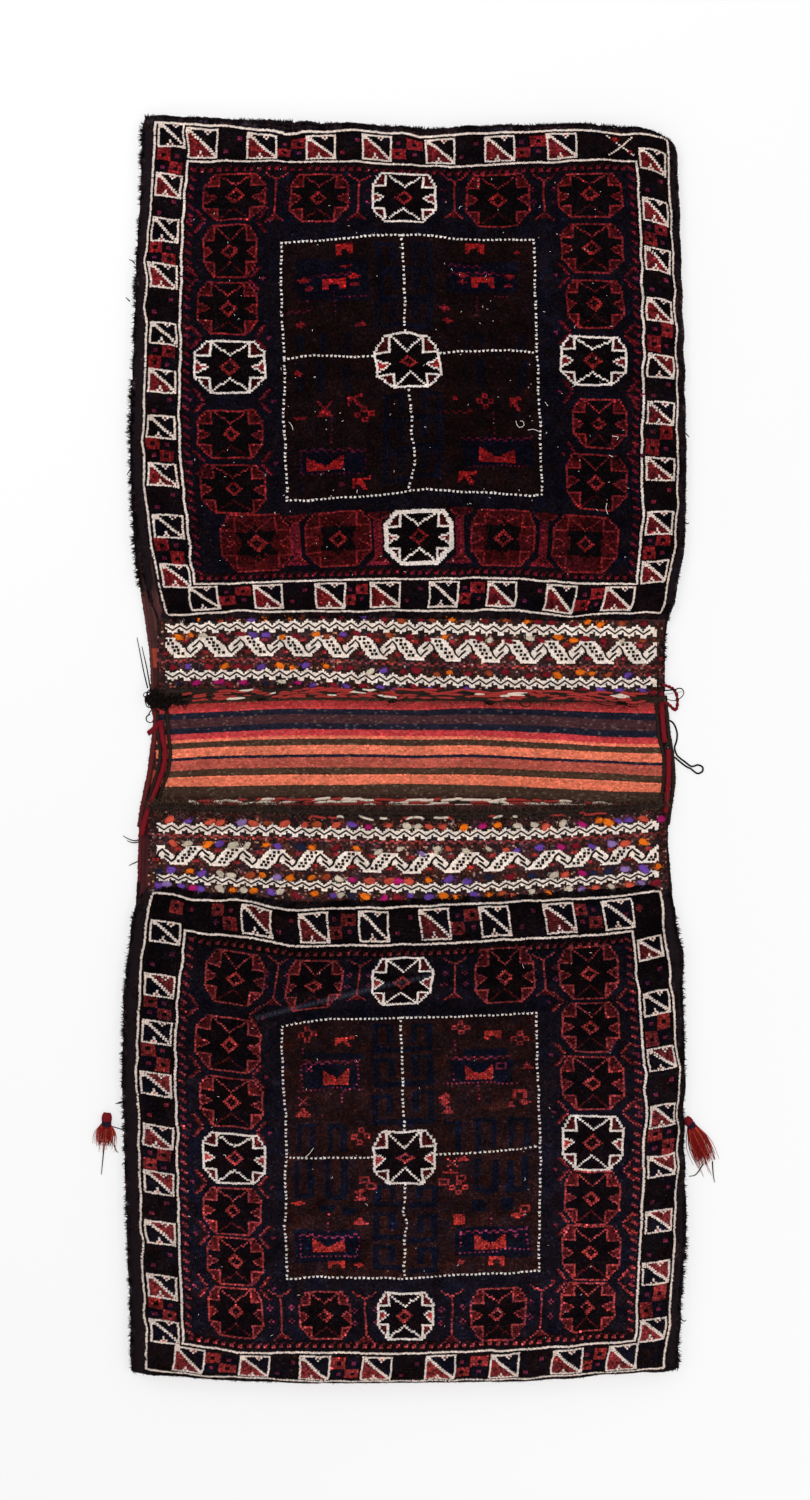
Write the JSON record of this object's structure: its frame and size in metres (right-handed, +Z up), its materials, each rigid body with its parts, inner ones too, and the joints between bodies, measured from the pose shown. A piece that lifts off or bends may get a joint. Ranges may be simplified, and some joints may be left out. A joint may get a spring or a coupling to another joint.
{
  "type": "pile saddle bag",
  "caption": "Double saddle bag of woven wool, lying flat: knotted-pile pouch faces with octagons and boxed borders, brocaded mouths, a striped bridge and small tassels.",
  "frame": {"origin": "on the floor under the middle of the striped bridge, between the two pouch mouths", "axes": "+X across the bag, +Y along it towards the upper pouch, +Z up, out of the pile faces"},
  "size_m": [0.6891, 1.3926, 0.0248],
  "materials": {
    "ground_weave": "weft-faced flat weave of wool with stripes",
    "dark_pile": "knotted wool pile, navy, brown and dark red",
    "ivory_wool": "undyed ivory wool, knotted or brocaded",
    "goat_hair": "dark goat hair, overcast or braided",
    "red_wool": "plied red wool"
  },
  "bodies": {
    "root": {"woven_cloth": "ground_weave", "upper_pile": "dark_pile", "upper_border": "ivory_wool", "upper_panel_lines": "ivory_wool", "upper_ivory_octagon_1": "ivory_wool", "upper_ivory_octagon_2": "ivory_wool", "upper_ivory_octagon_3": "ivory_wool", "upper_ivory_octagon_4": "ivory_wool", "upper_scroll": "ivory_wool", "upper_zigzag_1": "ivory_wool", "upper_zigzag_2": "ivory_wool", "upper_left_binding": "goat_hair", "upper_right_binding": "goat_hair", "lower_pile": "dark_pile", "lower_border": "ivory_wool", "lower_panel_lines": "ivory_wool", "lower_ivory_octagon_1": "ivory_wool", "lower_ivory_octagon_2": "ivory_wool", "lower_ivory_octagon_3": "ivory_wool", "lower_ivory_octagon_4": "ivory_wool", "lower_scroll": "ivory_wool", "lower_zigzag_1": "ivory_wool", "lower_zigzag_2": "ivory_wool", "lower_left_binding": "goat_hair", "lower_right_binding": "goat_hair", "bridge_left_cord": "red_wool", "bridge_right_cord": "red_wool", "upper_mouth_braid": "goat_hair", "lower_mouth_braid": "goat_hair", "corner_knot": "goat_hair", "mouth_tuft_1": "goat_hair", "mouth_tuft_2": "goat_hair", "mouth_tuft_3": "goat_hair", "mouth_tuft_4": "goat_hair", "red_loop": "red_wool", "loose_thread": "goat_hair", "left_tassel_thread": "goat_hair", "left_tassel_head": "red_wool", "left_tassel_skirt": "red_wool", "right_tassel_thread": "goat_hair", "right_tassel_head": "red_wool", "right_tassel_skirt": "red_wool"}
  },
  "joints": []
}
